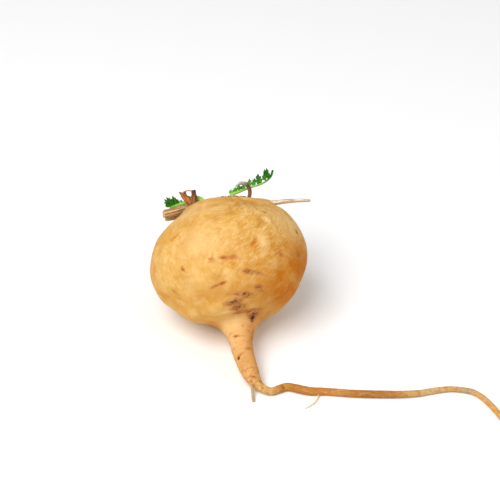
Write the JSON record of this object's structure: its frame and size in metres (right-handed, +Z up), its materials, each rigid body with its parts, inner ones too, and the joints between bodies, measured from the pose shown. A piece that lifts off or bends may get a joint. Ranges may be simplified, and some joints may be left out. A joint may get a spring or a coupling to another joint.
{
  "type": "maca root",
  "caption": "Fresh maca root lying on a surface: a golden turnip-like body with wrinkled skin, a taproot that runs out into a long thin tail, and a cut crown with leaf stubs.",
  "frame": {"origin": "on the flat spot of the body's underside that the root rests on", "axes": "+Z up from the surface that it lies on; +X along the tail, from the taproot towards the tip; -Y the way the taproot leaves the body, with the crown facing up and towards +Y"},
  "size_m": [0.1229, 0.0986, 0.0456],
  "materials": {
    "skin": "satin golden-tan root skin, finely wrinkled, with brown marks",
    "dry_bract": "matte, dry and papery, reddish to grey brown",
    "dry_stalk": "matte straw brown with darker fibres",
    "pale_stalk": "matte pale straw",
    "dark_stalk": "matte dark brown, withered",
    "leaf": "fresh green leaf, slightly waxy",
    "heart": "matte mustard yellow, granular",
    "bud": "lime green, slightly waxy"
  },
  "bodies": {
    "root": {"root": "skin", "crown_tuft": "dry_bract", "crown_heart": "heart", "leaf_bud": "bud", "leaf_left": "leaf", "leaf_right": "leaf", "dry_leaf_tatter": "dark_stalk", "dry_stalk_1": "dry_stalk", "dry_stalk_2": "dry_stalk", "dry_stalk_3": "dry_stalk", "dry_stalk_4": "dry_stalk", "dry_stalk_5": "dry_stalk", "pale_stalk": "pale_stalk", "hooked_stalk": "dark_stalk"}
  },
  "joints": []
}
